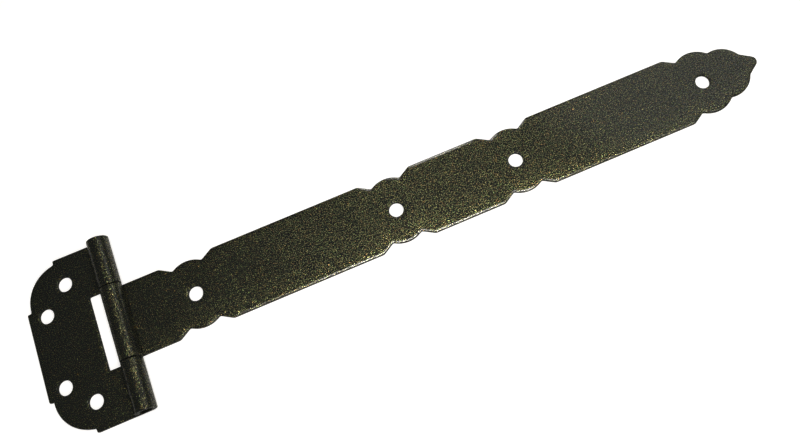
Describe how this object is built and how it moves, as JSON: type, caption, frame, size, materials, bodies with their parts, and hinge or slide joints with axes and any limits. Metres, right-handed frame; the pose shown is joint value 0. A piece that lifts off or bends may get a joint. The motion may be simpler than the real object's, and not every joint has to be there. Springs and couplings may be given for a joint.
{
  "type": "arrow hinge",
  "caption": "Surface-mounted arrow hinge: a short fixing plate and a long scalloped strap with an arrow tip, joined by a rolled barrel and pin.",
  "frame": {"origin": "on the flat back of the hinge, straight under the barrel's axis and half way along the barrel", "axes": "+X along the strap to its tip, Y along the barrel, +Z out of the surface that the hinge is screwed to, on the barrel's side"},
  "size_m": [0.362, 0.0832, 0.01],
  "materials": {
    "hammer_paint": "glossy dark hammered powder paint with fine gold and green flecks"
  },
  "bodies": {
    "plate": {"fixing_plate": "hammer_paint", "hinge_pin": "hammer_paint"},
    "strap": {"arrow_strap": "hammer_paint"}
  },
  "joints": [
    {"name": "barrel", "type": "hinge", "parent": "plate", "child": "strap", "pos_m": [0, 0, 0.005], "axis": [0, -1, 0], "range_deg": [-130, 180]}
  ]
}
